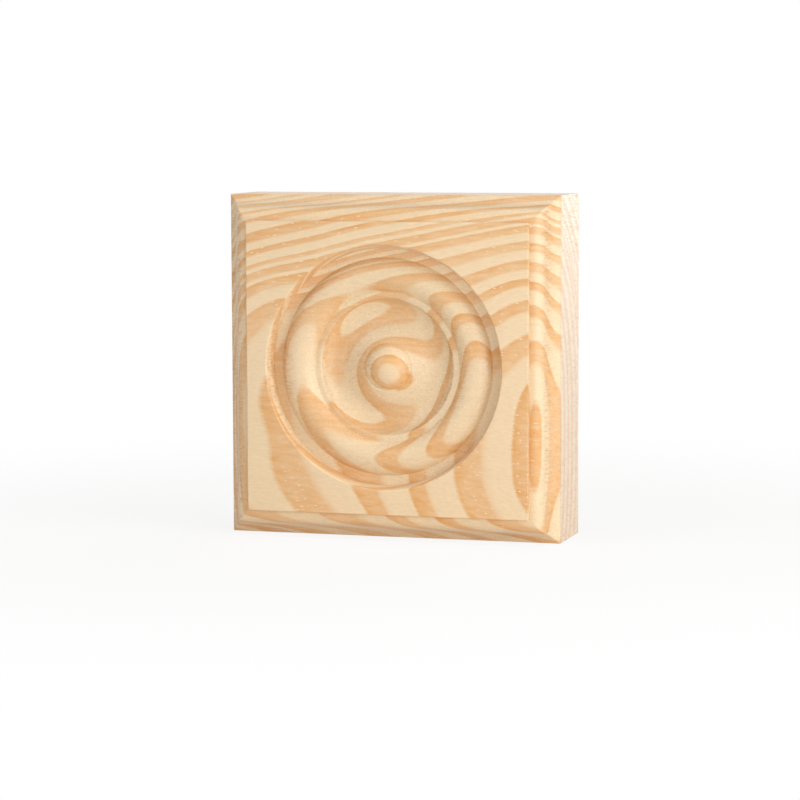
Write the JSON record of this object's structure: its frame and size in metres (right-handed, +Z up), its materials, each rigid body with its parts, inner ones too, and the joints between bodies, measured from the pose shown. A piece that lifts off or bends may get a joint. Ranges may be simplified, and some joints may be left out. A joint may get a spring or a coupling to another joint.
{
  "type": "corner rosette block",
  "caption": "Square softwood trim block with an ogee border round a raised panel and a turned rosette of ring, cove and button, for casing corners.",
  "frame": {"origin": "middle of the flat back face", "axes": "+Z up, +X to the right seen from the front, +Y out of the back face into the wall; the rosette faces -Y"},
  "size_m": [0.0888, 0.027, 0.0888],
  "materials": {
    "pine": "bare clear pine, sanded, unpainted"
  },
  "bodies": {
    "root": {"rosette_block": "pine"}
  },
  "joints": []
}
